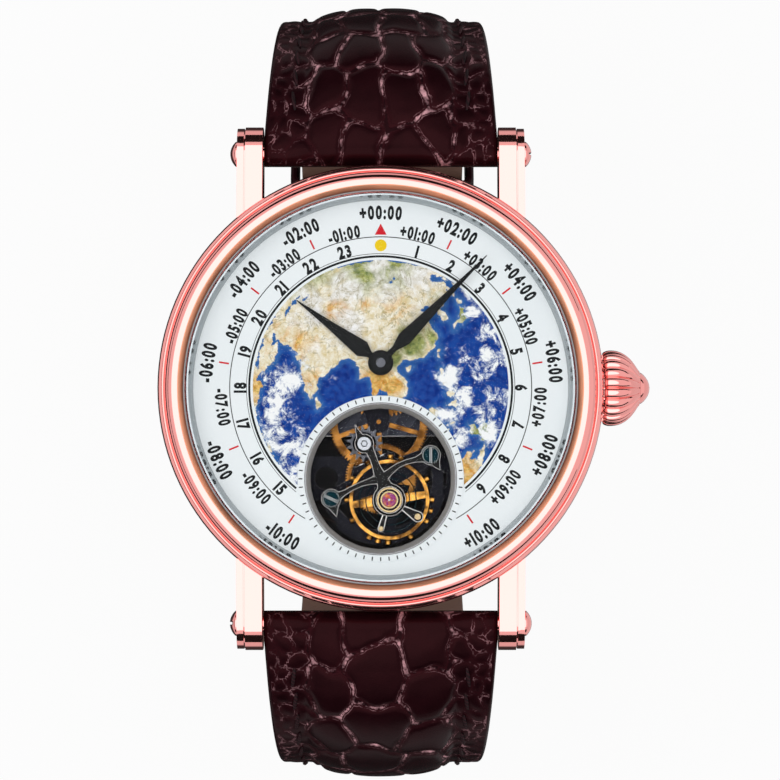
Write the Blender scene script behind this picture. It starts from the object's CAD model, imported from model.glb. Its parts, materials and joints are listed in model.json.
"""A tourbillon wristwatch on a pale floor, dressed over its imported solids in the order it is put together."""
import json
import math
import random

import bmesh
import bpy
import numpy as np
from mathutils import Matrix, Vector

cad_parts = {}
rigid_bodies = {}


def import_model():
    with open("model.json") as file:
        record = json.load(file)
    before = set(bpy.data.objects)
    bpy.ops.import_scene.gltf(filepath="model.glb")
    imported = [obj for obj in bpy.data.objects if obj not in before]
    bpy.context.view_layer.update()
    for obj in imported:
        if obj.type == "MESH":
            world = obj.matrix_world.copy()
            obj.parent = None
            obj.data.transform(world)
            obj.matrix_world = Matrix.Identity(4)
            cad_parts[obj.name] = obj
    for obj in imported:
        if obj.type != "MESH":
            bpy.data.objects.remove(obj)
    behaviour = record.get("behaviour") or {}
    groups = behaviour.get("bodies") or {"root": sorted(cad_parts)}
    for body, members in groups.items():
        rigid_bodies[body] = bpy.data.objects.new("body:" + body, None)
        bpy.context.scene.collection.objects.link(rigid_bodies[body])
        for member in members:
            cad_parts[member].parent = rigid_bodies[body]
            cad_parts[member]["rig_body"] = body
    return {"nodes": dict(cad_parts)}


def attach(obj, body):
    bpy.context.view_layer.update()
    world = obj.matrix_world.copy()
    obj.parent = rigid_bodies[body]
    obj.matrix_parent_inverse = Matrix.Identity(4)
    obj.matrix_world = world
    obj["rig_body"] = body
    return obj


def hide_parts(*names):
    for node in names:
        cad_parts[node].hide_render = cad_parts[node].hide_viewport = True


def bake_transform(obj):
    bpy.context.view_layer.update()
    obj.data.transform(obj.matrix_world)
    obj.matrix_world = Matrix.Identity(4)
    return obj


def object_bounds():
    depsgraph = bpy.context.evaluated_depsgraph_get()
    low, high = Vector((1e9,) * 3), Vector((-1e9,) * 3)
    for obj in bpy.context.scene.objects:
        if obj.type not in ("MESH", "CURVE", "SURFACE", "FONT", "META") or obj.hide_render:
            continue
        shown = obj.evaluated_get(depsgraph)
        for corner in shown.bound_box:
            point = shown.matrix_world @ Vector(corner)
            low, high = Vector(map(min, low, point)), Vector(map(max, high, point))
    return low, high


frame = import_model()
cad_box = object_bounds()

# ---- Studio ----
# The watch is looked at from straight above, on a pale floor just under the ends of its strap. One
# wide soft lamp hangs overhead in a pale room, and a dark band stands low around the watch, as a
# photographer sets it, to draw dark lines in polished metal.
MM = 0.001
PHOTO_WIDTH_MM = 73.2
CAMERA_DISTANCE_MM = 300
SENSOR_MM = 36
AIM = Vector((0.876, -0.234, 8.0)) * MM
LEAN = math.radians(1.0)


def linear(code):
    """An sRGB hex colour as linear RGBA"""
    parts = [int(code[i:i + 2], 16) / 255 for i in (1, 3, 5)]
    return [c / 12.92 if c <= 0.04045 else ((c + 0.055) / 1.055) ** 2.4 for c in parts] + [1.0]


def inlet(node, key):
    """An input of a node by its number, or by its name among those in use"""
    found = [port for port in node.inputs if port.name == key and port.enabled]
    return node.inputs[key] if isinstance(key, int) else found[0] if found else None


def join(node, links):
    """Links sources into a node's inputs; of a node given as a source it takes the first output in use"""
    for key, source in links.items():
        if isinstance(source, bpy.types.Node):
            source = next(output for output in source.outputs if output.enabled)
        node.id_data.links.new(source, inlet(node, key))


def adjust(node, values):
    """Sets a node's input values, colours by their codes and a pattern's grain as "mm", or its settings"""
    for key, value in dict(values).items():
        if key == "mm":
            key, value = "Scale", 1 / (value * MM)
        port = inlet(node, key)
        if port:
            port.default_value = linear(value) if isinstance(value, str) else value
        else:
            setattr(node, key, value)
    return node


def add(tree, kind, values=(), links=()):
    """Adds one node with its settings and links; a single source is its first input's; mixes are of colours"""
    node = tree.nodes.new("ShaderNode" + kind)
    if kind == "Mix":
        node.data_type = "RGBA"
    join(adjust(node, values), dict(links) if isinstance(links, (dict, tuple)) else {0: links})
    return node


def place_in_scene(name, data):
    made = bpy.data.objects.new(name, data)
    bpy.context.scene.collection.objects.link(made)
    return made


camera = place_in_scene("camera", bpy.data.cameras.new("camera"))
camera.data.sensor_width = SENSOR_MM
camera.data.lens = SENSOR_MM * CAMERA_DISTANCE_MM / PHOTO_WIDTH_MM
camera.data.clip_start, camera.data.clip_end = 0.01, 20
camera.location = AIM + CAMERA_DISTANCE_MM * MM * Vector((0, -math.sin(LEAN), math.cos(LEAN)))
camera.rotation_euler = (LEAN, 0, 0)
bpy.context.scene.camera = camera
bpy.context.scene.view_settings.view_transform = "Standard"

lamp = place_in_scene("overhead_lamp", bpy.data.lights.new("overhead_lamp", "AREA"))
LAMP_X, LAMP_HEIGHT, LAMP_SIZE, LAMP_LEVEL = -0.15, 1.1, 1.6, 1.55
lamp.data.shape = "DISK"
lamp.data.size = LAMP_SIZE
lamp.data.energy = LAMP_LEVEL * math.pi * math.pi * (LAMP_SIZE / 2) ** 2
lamp.location = (LAMP_X, 0, LAMP_HEIGHT)

# The room is white to the eye and in mirrors, and lights the rest of the watch more softly
ROOM_LIGHT = 0.42
room = bpy.data.worlds.new("pale_room")
room.use_nodes = True
bpy.context.scene.world = room
tree = room.node_tree
rays = add(tree, "LightPath").outputs
level = add(tree, "MapRange", {"To Min": ROOM_LIGHT, "To Max": 1.0}, rays["Is Camera Ray"])
level = add(tree, "MapRange", {"To Max": 1.0}, {"Value": rays["Is Glossy Ray"], "To Min": level})
join(adjust(tree.nodes["Background"], {"Color": (1, 1, 1, 1)}), {"Strength": level})


def cos_sin(degrees):
    return math.cos(math.radians(degrees)), math.sin(math.radians(degrees))


def stage_mesh(name, vertices, faces, code, roughness=1.0):
    """A piece of the stage in one matt colour; returns it with its shader"""
    mesh = bpy.data.meshes.new(name)
    mesh.from_pydata(vertices, [], faces)
    made = place_in_scene(name, mesh)
    mesh.materials.append(bpy.data.materials.new(name))
    mesh.materials[0].use_nodes = True
    shader = mesh.materials[0].node_tree.nodes["Principled BSDF"]
    adjust(shader, {"Base Color": code, "Roughness": roughness})
    return made, shader


FLOOR_Z, FLOOR_HALF, FLOOR_WHITE = cad_box[0][2] - 0.001, 4, 0.9
CORNERS = ((-1, -1), (1, -1), (1, 1), (-1, 1))
floor, paper = stage_mesh("floor", [(x * FLOOR_HALF, y * FLOOR_HALF, FLOOR_Z) for x, y in CORNERS],
                          [(0, 1, 2, 3)], "#f4f4f4", 0.9)
tree = adjust(paper, {"Specular IOR Level": 0.1}).id_data
rays = add(tree, "LightPath").outputs
share = add(tree, "Math", {"operation": "MULTIPLY", 1: FLOOR_WHITE}, rays["Is Camera Ray"])
white = add(tree, "Emission", {"Color": (1, 1, 1, 1), "Strength": 1.0})
mixed = add(tree, "MixShader", {}, {0: share, 1: paper, 2: white})
# In mirrors the floor reads dark near the watch, as the disc of black glass does that jewels are
# photographed on, and pale farther out and on the crown's side, where the disc is cut off
GLASS_R, GLASS_FADE_R, GLASS_X, GLASS_FADE_X, GLASS_DARK, GLASS_PALE = 0.19, 0.28, 0.03, 0.08, 0.05, 0.85
spot = add(tree, "TexCoord").outputs["Object"]
reach = add(tree, "VectorMath", {"operation": "LENGTH"}, spot)
out_there = add(tree, "MapRange", {"From Min": GLASS_R, "From Max": GLASS_FADE_R}, reach)
aside = add(tree, "SeparateXYZ", {}, spot)
aside = add(tree, "MapRange", {"From Min": GLASS_X, "From Max": GLASS_FADE_X}, aside)
edge = add(tree, "Math", {"operation": "MAXIMUM"}, {0: out_there, 1: aside})
edge = add(tree, "MapRange", {"To Min": GLASS_DARK, "To Max": GLASS_PALE}, edge)
shade = add(tree, "Emission", {"Color": (1, 1, 1, 1)}, {"Strength": edge})
mixed = add(tree, "MixShader", {}, {0: rays["Is Glossy Ray"], 1: mixed, 2: shade})
# Seen from below the floor isn't there, so that the back can be looked at too
facing = add(tree, "NewGeometry").outputs["Backfacing"]
mixed = add(tree, "MixShader", {}, {0: facing, 1: mixed, 2: add(tree, "BsdfTransparent")})
join(tree.nodes["Material Output"], {"Surface": mixed})

# The band stands higher above and below the watch than beside it, which darkens the tips of the lugs,
# and it is open on the crown's side
BAND_R, BAND_LOW, BAND_HIGH, BAND_RISE, BAND_STEPS, BAND_GAP = 0.5, 0.005, 0.07, 0.3, 48, 22
turns = [cos_sin(BAND_GAP + (360 - 2 * BAND_GAP) * k / BAND_STEPS) for k in range(BAND_STEPS + 1)]
band, shader = stage_mesh("dark_band", [(BAND_R * c, BAND_R * s, z) for c, s in turns
                                        for z in (BAND_LOW, BAND_HIGH + BAND_RISE * s ** 4)],
                          [(2 * k, 2 * k + 2, 2 * k + 3, 2 * k + 1) for k in range(BAND_STEPS)], "#101010")
band.visible_camera = band.visible_diffuse = band.visible_shadow = band.visible_transmission = False

# A black card lies behind the back glass, and only what shines through the open movement meets it
CARD_R, CARD_Z, CARD_STEPS = 0.0165, -0.0015, 48
turns = [cos_sin(360 * k / CARD_STEPS) for k in range(CARD_STEPS)]
card, shader = stage_mesh("black_card", [(CARD_R * c, CARD_R * s, CARD_Z) for c, s in turns],
                          [tuple(range(CARD_STEPS))], "#0c0c0f")
card.visible_camera = card.visible_diffuse = card.visible_glossy = card.visible_shadow = False

# ---- Case: middle, bezel, back ring and strap bars ----
# The case is turned and milled from rose gold and polished all over: a round middle with soldered
# lug bars, a domed bezel pressed onto it, a back ring screwed in from below, and four screwed bars.


def material(name, code, metallic=0.0, roughness=0.5, constant=()):
    """A node material; returns it with its tree, its shader and the object coordinates"""
    made = bpy.data.materials.new(name)
    made.use_nodes = True
    tree = made.node_tree
    shader = tree.nodes["Principled BSDF"]
    adjust(shader, {"Base Color": code, "Metallic": metallic, "Roughness": roughness, **dict(constant)})
    return made, tree, shader, add(tree, "TexCoord").outputs["Object"]


def surface(shader, tone=None, gloss=None, height=None, strength=0.5, depth_mm=0.01):
    """Feeds a surface its colour, its gloss and its relief from patterns"""
    if height:
        depth = {"Strength": strength, "Distance": depth_mm * MM}
        height = add(shader.id_data, "Bump", depth, {"Height": height})
    links = {"Base Color": tone, "Roughness": gloss, "Normal": height}
    join(shader, {key: source for key, source in links.items() if source})


def polish(name, code, roughness=0.06, patch_mm=4.0, line_mm=0.12, depth_mm=0.0006, metallic=1.0):
    """Polished metal: soft patches in the gloss and hairlines from wiping keep reflections from being perfect"""
    made, tree, shader, place = material(name, code, metallic, roughness)
    patches = add(tree, "TexNoise", {"mm": patch_mm, "Detail": 3.0}, place)
    gloss = add(tree, "MapRange", {"From Min": 0.3, "From Max": 0.7, "To Min": roughness * 0.7,
                                   "To Max": roughness * 1.5}, patches)
    wiped = add(tree, "Mapping", {"Rotation": (0.3, 0.5, 0.6), "Scale": (1, 0.08, 1)}, place)
    lines = add(tree, "TexNoise", {"mm": line_mm, "Detail": 2.0}, wiped)
    surface(shader, None, gloss, lines, 0.5, depth_mm)
    return made


def swept(rings, closed=False):
    """Shape that joins equal rings of points one after the other, into a loop or with a face at each end"""
    count, last = len(rings[0]), len(rings) - 1
    faces = [(r * count + i, r * count + (i + 1) % count, (r + 1) % len(rings) * count + (i + 1) % count,
              (r + 1) % len(rings) * count + i) for r in range(last + closed) for i in range(count)]
    ends = [] if closed else [tuple(range(count))[::-1], tuple(last * count + i for i in range(count))]
    return [p for ring in rings for p in ring], faces + ends


def arc(cx, cy, r, start, end, steps):
    """Points of an arc, angles in degrees"""
    turns = [cos_sin(start + (end - start) * k / steps) for k in range(steps + 1)]
    return [(cx + r * c, cy + r * s) for c, s in turns]


def circle(steps):
    """Cosine and sine of evenly spaced angles, once round"""
    return [cos_sin(360 * k / steps) for k in range(steps)]


def turned(profile, steps=300, centre=(0, 0)):
    """Shape of a turned piece: a closed outline of (radius, height) in mm swept round a vertical axis"""
    x, y = centre
    return swept([[(x + r * c, y + r * s, z) for r, z in profile] for c, s in circle(steps)], True)


def piece(name, shapes, body, skin, slot, *nodes, smooth=35):
    """One object from shapes in mm in the row frame: closed, shaded, painted and riding on its body"""
    vertices, faces, skins = [], [], []
    for shape in shapes:
        start = len(vertices)
        vertices += [(x * MM, y * MM, z * MM) for x, y, z in shape[0]]
        faces += [tuple(start + i for i in face) for face in shape[1]]
        skins += [shape[2] if len(shape) > 2 else 0] * len(shape[1])
    mesh = bpy.data.meshes.new(name)
    mesh.from_pydata(vertices, [], faces)
    mesh.polygons.foreach_set("material_index", skins)
    work = bmesh.new()
    work.from_mesh(mesh)
    bmesh.ops.remove_doubles(work, verts=work.verts, dist=1e-7)
    bmesh.ops.dissolve_degenerate(work, edges=work.edges, dist=1e-8)
    bmesh.ops.recalc_face_normals(work, faces=work.faces)
    work.to_mesh(mesh)
    work.free()
    for each in skin if isinstance(skin, list) else [skin]:
        mesh.materials.append(each)
    mesh.polygons.foreach_set("use_smooth", [True] * len(mesh.polygons))
    mesh.set_sharp_from_angle(angle=math.radians(smooth))
    made = place_in_scene(name, mesh)
    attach(made, body)
    if nodes:
        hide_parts(*nodes)
    return made


def paint(skin, *nodes):
    """Gives CAD nodes whose shape is right a finished material"""
    for node in nodes:
        mesh = frame["nodes"][node].data
        mesh.materials.clear()
        mesh.materials.append(skin)


def dressed(node, finish, skins, width=0.08, parts=2, bends=None, clamp=True):
    """A CAD solid as it is, with its sharp edges broken: the bevels take the last of its materials"""
    source, name = frame["nodes"][node], f"{node}_{finish}"
    mesh = source.data.copy()
    mesh.name = name
    mesh.materials.clear()
    for skin in skins:
        mesh.materials.append(skin)
    work = bmesh.new()
    work.from_mesh(mesh)
    bmesh.ops.remove_doubles(work, verts=work.verts, dist=1e-6)
    bmesh.ops.dissolve_limit(work, angle_limit=math.radians(2), verts=work.verts, edges=work.edges)
    sharp = [e for e in work.edges if len(e.link_faces) == 2 and e.calc_face_angle(0) > math.radians(35)]
    bmesh.ops.bevel(work, geom=sharp, offset=width * MM, offset_type="OFFSET", segments=parts, profile=0.5,
                    affect="EDGES", clamp_overlap=clamp, material=len(skins) - 1)
    bmesh.ops.recalc_face_normals(work, faces=work.faces)
    work.to_mesh(mesh)
    work.free()
    made = place_in_scene(name, mesh)
    even_shading(made)
    if bends:
        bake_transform(made)
    else:
        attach(made, source["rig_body"])
    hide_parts(node)
    return made


def even_shading(made):
    """Keeps flats flat and lets only their broken edges turn the light"""
    made.data.polygons.foreach_set("use_smooth", [True] * len(made.data.polygons))
    made.data.set_sharp_from_angle(angle=math.radians(50))
    made.modifiers.new("even_shading", "WEIGHTED_NORMAL").keep_sharp = True


def cut_from(target, shapes, skin):
    """Cuts shapes out of a piece and keeps its attributes where its own points stay"""
    tool = piece("cutting_tool", shapes, "case", skin, "rose_gold")
    target.modifiers.clear()
    change = target.modifiers.new("cut", "BOOLEAN")
    change.operation, change.object, change.solver = "DIFFERENCE", tool, "EXACT"
    bpy.context.view_layer.update()
    target.data = bpy.data.meshes.new_from_object(target.evaluated_get(bpy.context.evaluated_depsgraph_get()))
    target.modifiers.clear()
    bpy.data.objects.remove(tool)


# Rose gold, 18 carat, buffed to a mirror: the copper in it turns every reflection salmon.
rose_gold = polish("rose_gold_polished", "#f2a19c", roughness=0.07)
paint(rose_gold, "crown_tube")
dressed("buckle_frame", "polished", [rose_gold], 0.12)
dressed("buckle_tongue", "polished", [rose_gold], 0.12)
# Gold, bead blasted and blackened, so that nothing shines through the open movement from behind.
BLASTED_R = 18.6
blasted, tree, shader, place = material("gold_blasted_black", "#1a1716", 0.6, 0.7)
surface(shader, height=add(tree, "TexNoise", {"mm": 0.08}, place), strength=0.4)
back_ring = dressed("caseback_ring", "polished", [rose_gold, blasted, rose_gold], 0.1)
for face in back_ring.data.polygons:
    if face.normal.z > 0.3 and math.hypot(face.center.x, face.center.y) < BLASTED_R * MM:
        face.material_index = 1

dressed("case_middle", "polished", [rose_gold], 0.1, parts=3)
bars = dressed("lug_bars", "slotted", [rose_gold], 0.06)
BAR_Y, BAR_Z, SLOT_X, SLOT_LONG, SLOT_WIDE = 22.4, 2.6, (14.12, 15), 2, 0.14
slots = []
for side in (-1, 1):
    for end in (-1, 1):
        c, s = cos_sin(35 + 50 * side * end)
        slot = [(u * SLOT_LONG, v * SLOT_WIDE) for u, v in CORNERS]
        slots.append(swept([[(side * x, end * BAR_Y + u * c - v * s, BAR_Z + u * s + v * c) for u, v in slot]
                            for x in SLOT_X]))
cut_from(bars, slots, rose_gold)
even_shading(bars)

BEZEL_Z, BEZEL_IN, BEZEL_RIM = 8.02, 18.45, 20.53
outline = ([(BEZEL_IN, 0), (BEZEL_RIM, 0)] + arc(BEZEL_RIM - 0.1, 0.42, 0.15, -30, 120, 8)
           + [(BEZEL_RIM - 0.32, 0.4), (BEZEL_RIM - 0.38, 0.5)] + arc(BEZEL_IN + 0.75, 1.3, 0.95, 0, 85, 24)
           + [(BEZEL_IN + 0.5, 2.24), (BEZEL_IN + 0.36, 2.14), (BEZEL_IN, 1.6)])
domed = piece("bezel_domed", [turned([(r, z + BEZEL_Z) for r, z in outline], 480)], "case", rose_gold,
              "rose_gold", "bezel")
# Rose gold, brushed round the inner slope beside the crystal: a soft copper tone in place of a mirror.
SLOPE_OUT, SLOPE_LOW = 0.48, 1.55
domed.data.materials.append(polish("rose_gold_brushed", "#f2ab88", roughness=0.5, metallic=0.7))
for face in domed.data.polygons:
    far = math.hypot(face.center.x, face.center.y)
    if far < (BEZEL_IN + SLOPE_OUT) * MM and face.center.z > (BEZEL_Z + SLOPE_LOW) * MM:
        face.material_index = 1

# ---- Crown ----
# The winding crown is turned from rose gold as an onion: twenty rounded lobes round a bulb, a smooth
# point in front and a fine knurled collar against the case. It screws onto the stem.
LOBES, LOBE_STEPS, KNURL_STEPS, CROWN_Z, CROWN_BORE, CROWN_BACK, BULB_X, BULB_LEN, BULB_R = (
    20, 24, 8, 3.9, 2.1, 20.6, 21.12, 3.4, 3.62)
KNURLED, KNURL = 0.1, 0.06
BULB = ((0.0, 0.94), (0.03, 0.965), (0.08, 0.985), (0.14, 0.997), (0.2, 1.0), (0.27, 0.998), (0.34, 0.99),
        (0.41, 0.975), (0.48, 0.952), (0.55, 0.92), (0.62, 0.88), (0.69, 0.83), (0.76, 0.77), (0.82, 0.705),
        (0.88, 0.63), (0.93, 0.56), (0.97, 0.5))
# The crown's outline as place along the stem, radius and depth of the hollows between the lobes
LINE = [(CROWN_BACK, 3.12, KNURLED), (21.05, 3.12, KNURLED), (BULB_X, 3.3, 0.2)]
LINE += [(BULB_X + BULB_LEN * x, BULB_R * r, 0.3) for x, r in BULB]
LINE += [(24.55, 1.66, 0.02), (24.62, 1.5, 0), (24.8, 1.42, 0), (25.0, 1.25, 0), (25.2, 1.02, 0),
         (25.38, 0.74, 0), (25.5, 0.42, 0), (25.55, 0.12, 0)]
rings = [[(x, CROWN_BORE * c, CROWN_Z + CROWN_BORE * s) for c, s in circle(LOBES * LOBE_STEPS)]
         for x in (21.9, CROWN_BACK)]
for x, r, deep in LINE:
    ring = []
    for k, (c, s) in enumerate(circle(LOBES * LOBE_STEPS)):
        if deep == KNURLED:
            out = r + KNURL * (1 if k % KNURL_STEPS < KNURL_STEPS / 2 else -1)
        else:
            out = r - deep * (r / BULB_R) * abs(2 * (k / LOBE_STEPS % 1) - 1) ** 2.6
        ring.append((x, out * c, CROWN_Z + out * s))
    rings.append(ring)
piece("crown_lobed", [swept(rings)], "crown", rose_gold, "rose_gold", "crown", smooth=40)

# ---- Crystal, back glass and gaskets ----
# A domed sapphire disc pressed into a grey plastic gasket over the dial, and a flat one in the back.
# Both are coated against reflections, so they hardly show.


def clear(name, code, ior):
    """A clear solid that only eyes see: other light passes straight through, so what lies under it is lit"""
    made, tree, shader, place = material(name, code, 0.0, 0.0, {"Transmission Weight": 1.0, "IOR": ior})
    specks = add(tree, "TexNoise", {"mm": 6, "Detail": 2.0}, place)
    surface(shader, gloss=add(tree, "MapRange", {"To Max": 0.002}, specks))
    rays = add(tree, "LightPath").outputs
    seen = add(tree, "Math", {"operation": "ADD", "use_clamp": True},
               {0: rays["Is Camera Ray"], 1: rays["Is Transmission Ray"]})
    mixed = add(tree, "MixShader", {}, {0: seen, 1: add(tree, "BsdfTransparent"), 2: shader})
    join(tree.nodes["Material Output"], {"Surface": mixed})
    return made


# Sapphire, ground and polished, colourless. Its coating kills nearly all of the mirror on its faces,
# which a low index gives: only a faint sheen is left at grazing angles.
sapphire = clear("sapphire_coated", "#fdfeff", 1.06)
paint(sapphire, "crystal", "caseback_glass")

# Nylon, moulded: matte grey, it shows as a thin line inside the bezel.
gasket, tree, shader, place = material("nylon_moulded", "#8c8c8e", 0.0, 0.55)
surface(shader, height=add(tree, "TexNoise", {"mm": 0.2}, place), strength=0.2)
paint(gasket, "case_gaskets", "crown_gasket")

# ---- Dial, rehaut and printing ----
# The dial is brass, lacquered satin white and printed in black and red by pad: a 24 hour ring, two
# rings of time zones as plain offsets, and red ticks. The sloping ring round it is silvered steel.
lacquer, tree, shader, place = material("white_lacquer_satin", "#eef3f5", 0.0, 0.32,
                                        {"Specular IOR Level": 0.25, "Coat Weight": 0.15, "Coat Roughness": 0.2})
peel = add(tree, "TexNoise", {"mm": 0.35, "Detail": 3.0}, place)
wash = add(tree, "TexNoise", {"mm": 9, "Detail": 2.0}, place)
tone = add(tree, "Mix", {"A": "#e9f0f2", "B": "#f2f6f7"}, wash)
surface(shader, tone, None, peel, 0.12, 0.004)
paint(lacquer, "dial", "seconds_chapter_ring")

DIAL_TOP, INK = 7.10, 0.012
CAGE = (0.0, -8.57)


def satin(name, code, low, high, patch_mm, detail, roughness, specular):
    """A dark finish without a mirror, whose gloss drifts between two roughnesses"""
    made, tree, shader, place = material(name, code, 0.0, roughness, {"Specular IOR Level": specular})
    film = add(tree, "TexNoise", {"mm": patch_mm, "Detail": detail}, place)
    surface(shader, gloss=add(tree, "MapRange", {"To Min": low, "To Max": high}, film))
    return made


# Pad printing ink: a thin film with a slightly uneven gloss.
black_ink, red_ink, yellow_ink = [satin(f"ink_{name}", code, 0.3, 0.55, 0.1, 2.0, 0.4, 0.08) for name, code in
                                  (("black", "#15181a"), ("red", "#d8232f"), ("yellow", "#f4cf1c"))]
glyphs = {}


def glyph(letter):
    """One letter one unit high: its vertices, its faces, its advance and its own height"""
    if letter not in glyphs:
        text = bpy.data.curves.new("glyph", "FONT")
        text.body, text.offset, text.resolution_u, text.extrude = letter, 0.05, 4, 0.5
        made = place_in_scene("glyph", text)
        bpy.context.view_layer.update()
        mesh = bpy.data.meshes.new_from_object(made.evaluated_get(bpy.context.evaluated_depsgraph_get()))
        points = [v.co.copy() for v in mesh.vertices]
        low, high = min(p.x for p in points), max(p.x for p in points)
        tall = max(p.y for p in points) - min(p.y for p in points) if letter.isdigit() else glyph("0")[3]
        glyphs[letter] = ([((p.x - (low + high) / 2) / tall, p.y / tall, p.z) for p in points],
                          [tuple(f.vertices) for f in mesh.polygons], (high - low) / tall + LETTER_GAP, tall)
        bpy.data.objects.remove(made)
    return glyphs[letter]


def lettering(text, clock, radius, height, width, flipped=False, straight=False):
    """Letters round the dial at a clock angle in degrees; width squeezes them, flipped ones read from below"""
    advances = [glyph(c)[2] * height * width for c in text]
    at, shapes = -sum(advances) / 2, []
    for letter, advance in zip(text, advances):
        vertices, faces = glyph(letter)[:2]
        along = at + advance / 2
        turn = math.radians(clock) + (0 if straight else (-along if flipped else along) / radius)
        c, s = math.cos(turn), math.sin(turn)
        done = []
        for x, y, z in vertices:
            across, up = x * height * width + (along if straight else 0), (y - 0.5) * height
            if flipped:
                across, up = -across, -up
            out = radius + up
            done.append((across * c + out * s, -across * s + out * c, DIAL_TOP + INK * (z + 0.5)))
        shapes.append((done, faces))
        at += advance
    return shapes


def flat(outline, low=DIAL_TOP, high=DIAL_TOP + INK):
    """Shape of a flat plate from a closed outline, for thin convex marks"""
    return swept([[(x, y, z) for x, y in outline] for z in (low, high)])


def outside_window(shape, radius=7.9):
    """Drops the stretch of a printed ring that the tourbillon's opening leaves no room for"""
    vertices, faces = shape
    return vertices, [f for f in faces if all(math.dist(vertices[i][:2], CAGE) > radius for i in f)]


LETTER_GAP, HOUR_R, HOUR_SIZE, HOUR_WIDTH, ZONE_WIDTH = 0.17, 13.3, 1.2, 0.74, 0.66
black = []
for hour in (*range(1, 10), *range(15, 24)):
    black += lettering(str(hour), hour * 15, HOUR_R, HOUR_SIZE, HOUR_WIDTH, 7 <= hour <= 17, True)
# Time zones by their offset: the clock angle in degrees, and 1 where the number reads from below
OUTER = {0: (0, 0), 2: (25.8, 0), 4: (52.6, 0), 6: (81.4, 0), 8: (112.4, 1), 10: (145.4, 1),
         -2: (-27.4, 0), -4: (-51.8, 0), -6: (-81.8, 0), -8: (-114, 1), -10: (-146.4, 1)}
INNER = {1: (13.5, 0), 3: (39, 0), 5: (67, 0), 7: (97, 1), 9: (128.7, 1),
         -1: (-13.5, 0), -3: (-37.8, 0), -5: (-67, 0), -7: (-97, 1), -9: (-128.7, 1)}
for zones, radius, height in ((OUTER, 16.6, 1.34), (INNER, 14.95, 1.22)):
    for offset, (clock, flipped) in zones.items():
        black += lettering(f"{offset:+03d}:00", clock, radius, height, ZONE_WIDTH, flipped)
# Sixty second marks on the ring round the opening, then three circles round the dial
TICKS, TICK_IN, TICK_OUT, TICK_HALF, RING_TOP = 60, 7.36, 7.72, 0.055, 7.28
tick = [(TICK_IN, -TICK_HALF), (TICK_OUT, -TICK_HALF), (TICK_OUT, TICK_HALF), (TICK_IN, TICK_HALF)]
for c, s in circle(TICKS):
    outline = [(CAGE[0] + r * c - w * s, CAGE[1] + r * s + w * c) for r, w in tick]
    black.append(flat(outline, RING_TOP, RING_TOP + INK))
for r, w in ((14.2, 0.04), (12.36, 0.1), (12.62, 0.025)):
    black.append(outside_window(turned([(r - w, DIAL_TOP), (r + w, DIAL_TOP), (r + w, DIAL_TOP + INK),
                                        (r - w, DIAL_TOP + INK)], 360)))
piece("dial_numbers", black, "case", black_ink, "black_polish")
# Red marks between the zones, a red triangle at the top and a yellow dot below it
MARK_IN, MARK_OUT, MARK_HALF, DOT_AT, DOT_R = 14.45, 15.4, 0.08, 13.4, 0.56
mark = [(-MARK_HALF, MARK_IN), (MARK_HALF, MARK_IN), (MARK_HALF, MARK_OUT), (-MARK_HALF, MARK_OUT)]
red = []
for c, s in (cos_sin(side * clock) for side in (1, -1) for clock in (25.6, 52.4, 81, 112.3, 145.8)):
    red.append(flat([(x * c + r * s, -x * s + r * c) for x, r in mark]))
red.append(flat([(-0.55, 14.4), (0.55, 14.4), (0, 15.45)]))
piece("dial_red_marks", red, "case", red_ink, "dial_white")
dot = [(DOT_R * c, DOT_AT + DOT_R * s) for c, s in circle(48)]
piece("dial_yellow_dot", [flat(dot)], "case", yellow_ink, "dial_white")

# Rehaut: steel, turned on a slope and silver plated, so that it mirrors the printing beside it.
silvered = polish("steel_silvered", "#989ea1", roughness=0.16, line_mm=0.05, depth_mm=0.001)
paint(silvered, "rehaut_ring")

# ---- Globe ----
# A thin disc behind the hands, printed in full colour with the earth as seen from high above the
# Gulf of Siam, and lacquered. Coasts are plain geography, weather is made up for this dial.
GLOBE_R, GLOBE_TOP, GLOBE_LOW, WINDOW_R, GLOBE_RINGS, GLOBE_SPOKES = 12.02, 7.15, 7.10, 7.84, 120, 360
VIEW_LON, VIEW_LAT, VIEW_AWAY = 100.8, 13.5, 2.6
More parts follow.
